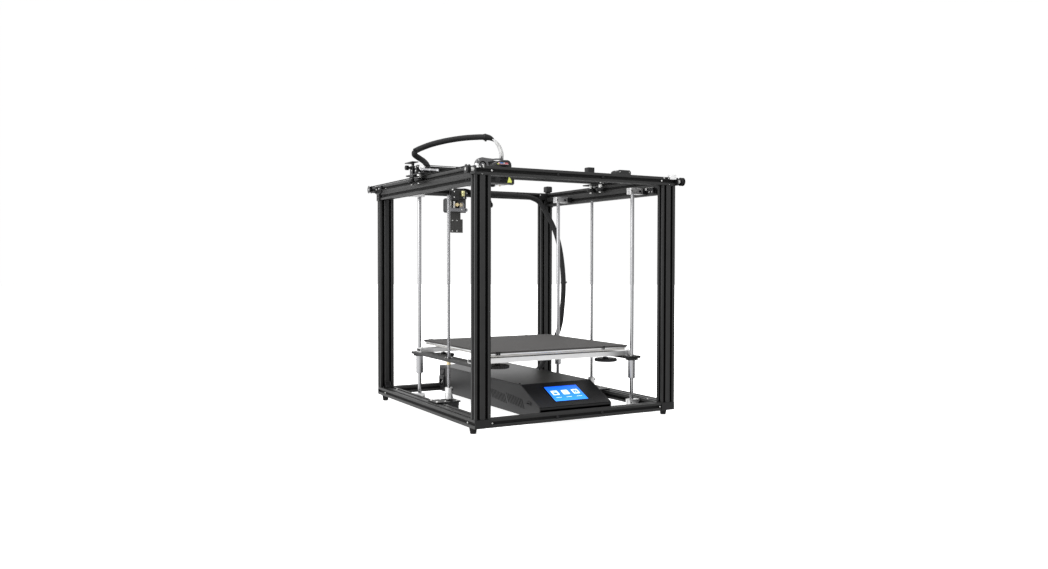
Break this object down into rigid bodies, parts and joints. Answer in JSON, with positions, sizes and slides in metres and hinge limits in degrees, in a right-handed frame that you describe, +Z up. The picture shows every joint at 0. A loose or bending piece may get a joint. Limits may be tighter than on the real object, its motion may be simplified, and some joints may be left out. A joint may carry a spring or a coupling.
{
  "type": "fdm 3d printer",
  "caption": "Cube-frame fused-filament 3D printer: a bed on two lead screws, a belt-driven gantry with a tool head on top and a control box with a touchscreen.",
  "frame": {"origin": "middle of the bounding box in X and Y, on the surface the four feet stand on", "axes": "+Z up, +Y from the front (touchscreen side) to the rear, +X to the right seen from the front"},
  "size_m": [0.625, 0.643, 0.7156],
  "materials": {
    "frame_profile": "black anodised extrusion, satin",
    "rubber": "moulded black rubber, matte",
    "polished_steel": "ground and polished steel",
    "black_plate": "black anodised flat plate, satin",
    "motor_black": "black lacquered motor laminations, satin",
    "bare_aluminium": "machined bare aluminium, satin",
    "build_surface": "fine-grained dark grey print surface, matte",
    "black_plastic": "moulded black plastic, fine texture",
    "black_sheet_metal": "black powder-coated sheet steel, semi-gloss",
    "screen": "glossy backlit touchscreen, blue interface",
    "brass": "turned brass",
    "braided_sleeve": "black braided cable sleeve, matte"
  },
  "bodies": {
    "root": {"post_front_left": "frame_profile", "post_front_right": "frame_profile", "post_rear_left": "frame_profile", "post_rear_right": "frame_profile", "base_rail_left": "frame_profile", "base_rail_right": "frame_profile", "base_rail_front": "frame_profile", "base_rail_rear": "frame_profile", "top_rail_left": "frame_profile", "top_rail_right": "frame_profile", "top_rail_front": "frame_profile", "top_rail_rear": "frame_profile", "foot_front_left": "rubber", "foot_front_right": "rubber", "foot_rear_left": "rubber", "foot_rear_right": "rubber", "guide_rod_front_left": "polished_steel", "guide_rod_front_right": "polished_steel", "guide_rod_rear_left": "polished_steel", "guide_rod_rear_right": "polished_steel", "z_motor_plate_left": "black_plate", "z_motor_plate_right": "black_plate", "shaft_bracket_left": "black_plate", "shaft_bracket_right": "black_plate", "feeder_bracket": "black_plate", "z_motor_left": "motor_black", "z_motor_right": "motor_black", "y_motor": "motor_black", "feeder_motor": "motor_black", "idler_bracket_left": "bare_aluminium", "idler_bracket_right": "bare_aluminium", "power_supply": "bare_aluminium", "power_inlet": "black_plastic", "control_box": "black_sheet_metal", "control_box_lid": "black_sheet_metal", "touchscreen": "screen", "cable_sleeve_lower": "braided_sleeve", "cable_sleeve_upper": "braided_sleeve"},
    "bed": {"bed_frame": "black_plate", "heated_plate": "bare_aluminium", "build_plate": "build_surface"},
    "lead_screw_left_body": {"lead_screw_left": "polished_steel"},
    "lead_screw_right_body": {"lead_screw_right": "polished_steel"},
    "gantry": {"gantry_beam": "frame_profile", "y_carriage_left": "black_plate", "y_carriage_right": "black_plate", "x_motor": "motor_black"},
    "tool_head": {"x_carriage": "black_plate", "hotend": "black_plastic"},
    "fan_rotor": {"hotend_fan": "black_plastic"},
    "y_shaft": {"y_drive_shaft": "polished_steel"},
    "idler_left": {"front_idler_left": "black_plastic"},
    "idler_right": {"front_idler_right": "black_plastic"},
    "feeder_gear_body": {"feeder_gear": "brass"},
    "feeder_arm": {"feeder_lever": "bare_aluminium"},
    "switch_rocker": {"power_switch": "black_plastic"},
    "knob_front_left": {"levelling_knob_front_left": "black_plastic"},
    "knob_front_right": {"levelling_knob_front_right": "black_plastic"},
    "knob_rear_left": {"levelling_knob_rear_left": "black_plastic"},
    "knob_rear_right": {"levelling_knob_rear_right": "black_plastic"}
  },
  "joints": [
    {"name": "bed_lift", "type": "slide", "parent": "root", "child": "bed", "axis": [0, 0, 1], "range_m": [0, 0.402]},
    {"name": "lead_screw_left_turn", "type": "hinge", "parent": "root", "child": "lead_screw_left_body", "pos_m": [-0.2245, -0.0335, 0.015], "axis": [0, 0, 1], "continuous": true},
    {"name": "lead_screw_right_turn", "type": "hinge", "parent": "root", "child": "lead_screw_right_body", "pos_m": [0.2055, -0.0335, 0.015], "axis": [0, 0, 1], "continuous": true},
    {"name": "levelling_knob_front_left_turn", "type": "hinge", "parent": "bed", "child": "knob_front_left", "pos_m": [-0.1665, -0.1845, 0.135], "axis": [0, 0, 1], "range_deg": [-720, 720]},
    {"name": "levelling_knob_front_right_turn", "type": "hinge", "parent": "bed", "child": "knob_front_right", "pos_m": [0.1475, -0.1845, 0.135], "axis": [0, 0, 1], "range_deg": [-720, 720]},
    {"name": "levelling_knob_rear_left_turn", "type": "hinge", "parent": "bed", "child": "knob_rear_left", "pos_m": [-0.1665, 0.1265, 0.135], "axis": [0, 0, 1], "range_deg": [-720, 720]},
    {"name": "levelling_knob_rear_right_turn", "type": "hinge", "parent": "bed", "child": "knob_rear_right", "pos_m": [0.1475, 0.1265, 0.135], "axis": [0, 0, 1], "range_deg": [-720, 720]},
    {"name": "gantry_slide", "type": "slide", "parent": "root", "child": "gantry", "axis": [0, 1, 0], "range_m": [-0.163, 0.187], "deforming": ["cable_sleeve_upper"]},
    {"name": "y_shaft_turn", "type": "hinge", "parent": "root", "child": "y_shaft", "pos_m": [-0.2885, 0.311, 0.586], "axis": [1, 0, 0], "continuous": true},
    {"name": "front_idler_left_turn", "type": "hinge", "parent": "root", "child": "idler_left", "pos_m": [-0.306, -0.311, 0.586], "axis": [1, 0, 0], "continuous": true},
    {"name": "front_idler_right_turn", "type": "hinge", "parent": "root", "child": "idler_right", "pos_m": [0.287, -0.311, 0.586], "axis": [1, 0, 0], "continuous": true},
    {"name": "carriage_slide", "type": "slide", "parent": "gantry", "child": "tool_head", "axis": [1, 0, 0], "range_m": [-0.101, 0.249], "deforming": ["cable_sleeve_upper"]},
    {"name": "hotend_fan_spin", "type": "hinge", "parent": "tool_head", "child": "fan_rotor", "pos_m": [-0.0885, -0.066, 0.612], "axis": [0, 1, 0], "continuous": true},
    {"name": "feeder_gear_turn", "type": "hinge", "parent": "root", "child": "feeder_gear_body", "pos_m": [-0.0605, 0.2782, 0.55], "axis": [0, 1, 0], "continuous": true},
    {"name": "feeder_lever_swing", "type": "hinge", "parent": "root", "child": "feeder_arm", "pos_m": [-0.0455, 0.2702, 0.536], "axis": [0, 1, 0], "range_deg": [0, 12], "stiffness_Nm_per_rad": 1, "springref_deg": -11.46},
    {"name": "power_switch_rock", "type": "hinge", "parent": "root", "child": "switch_rocker", "pos_m": [-0.1085, 0.2585, 0.071], "axis": [0, 1, 0], "range_deg": [-24, 0]}
  ],
  "couplings": [
    {"joint": "lead_screw_left_turn", "follows": "bed_lift", "rad_per_m": -785.4},
    {"joint": "lead_screw_right_turn", "follows": "bed_lift", "rad_per_m": -785.4},
    {"joint": "y_shaft_turn", "follows": "gantry_slide", "rad_per_m": -157.08},
    {"joint": "front_idler_left_turn", "follows": "gantry_slide", "rad_per_m": -157.08},
    {"joint": "front_idler_right_turn", "follows": "gantry_slide", "rad_per_m": -157.08}
  ]
}
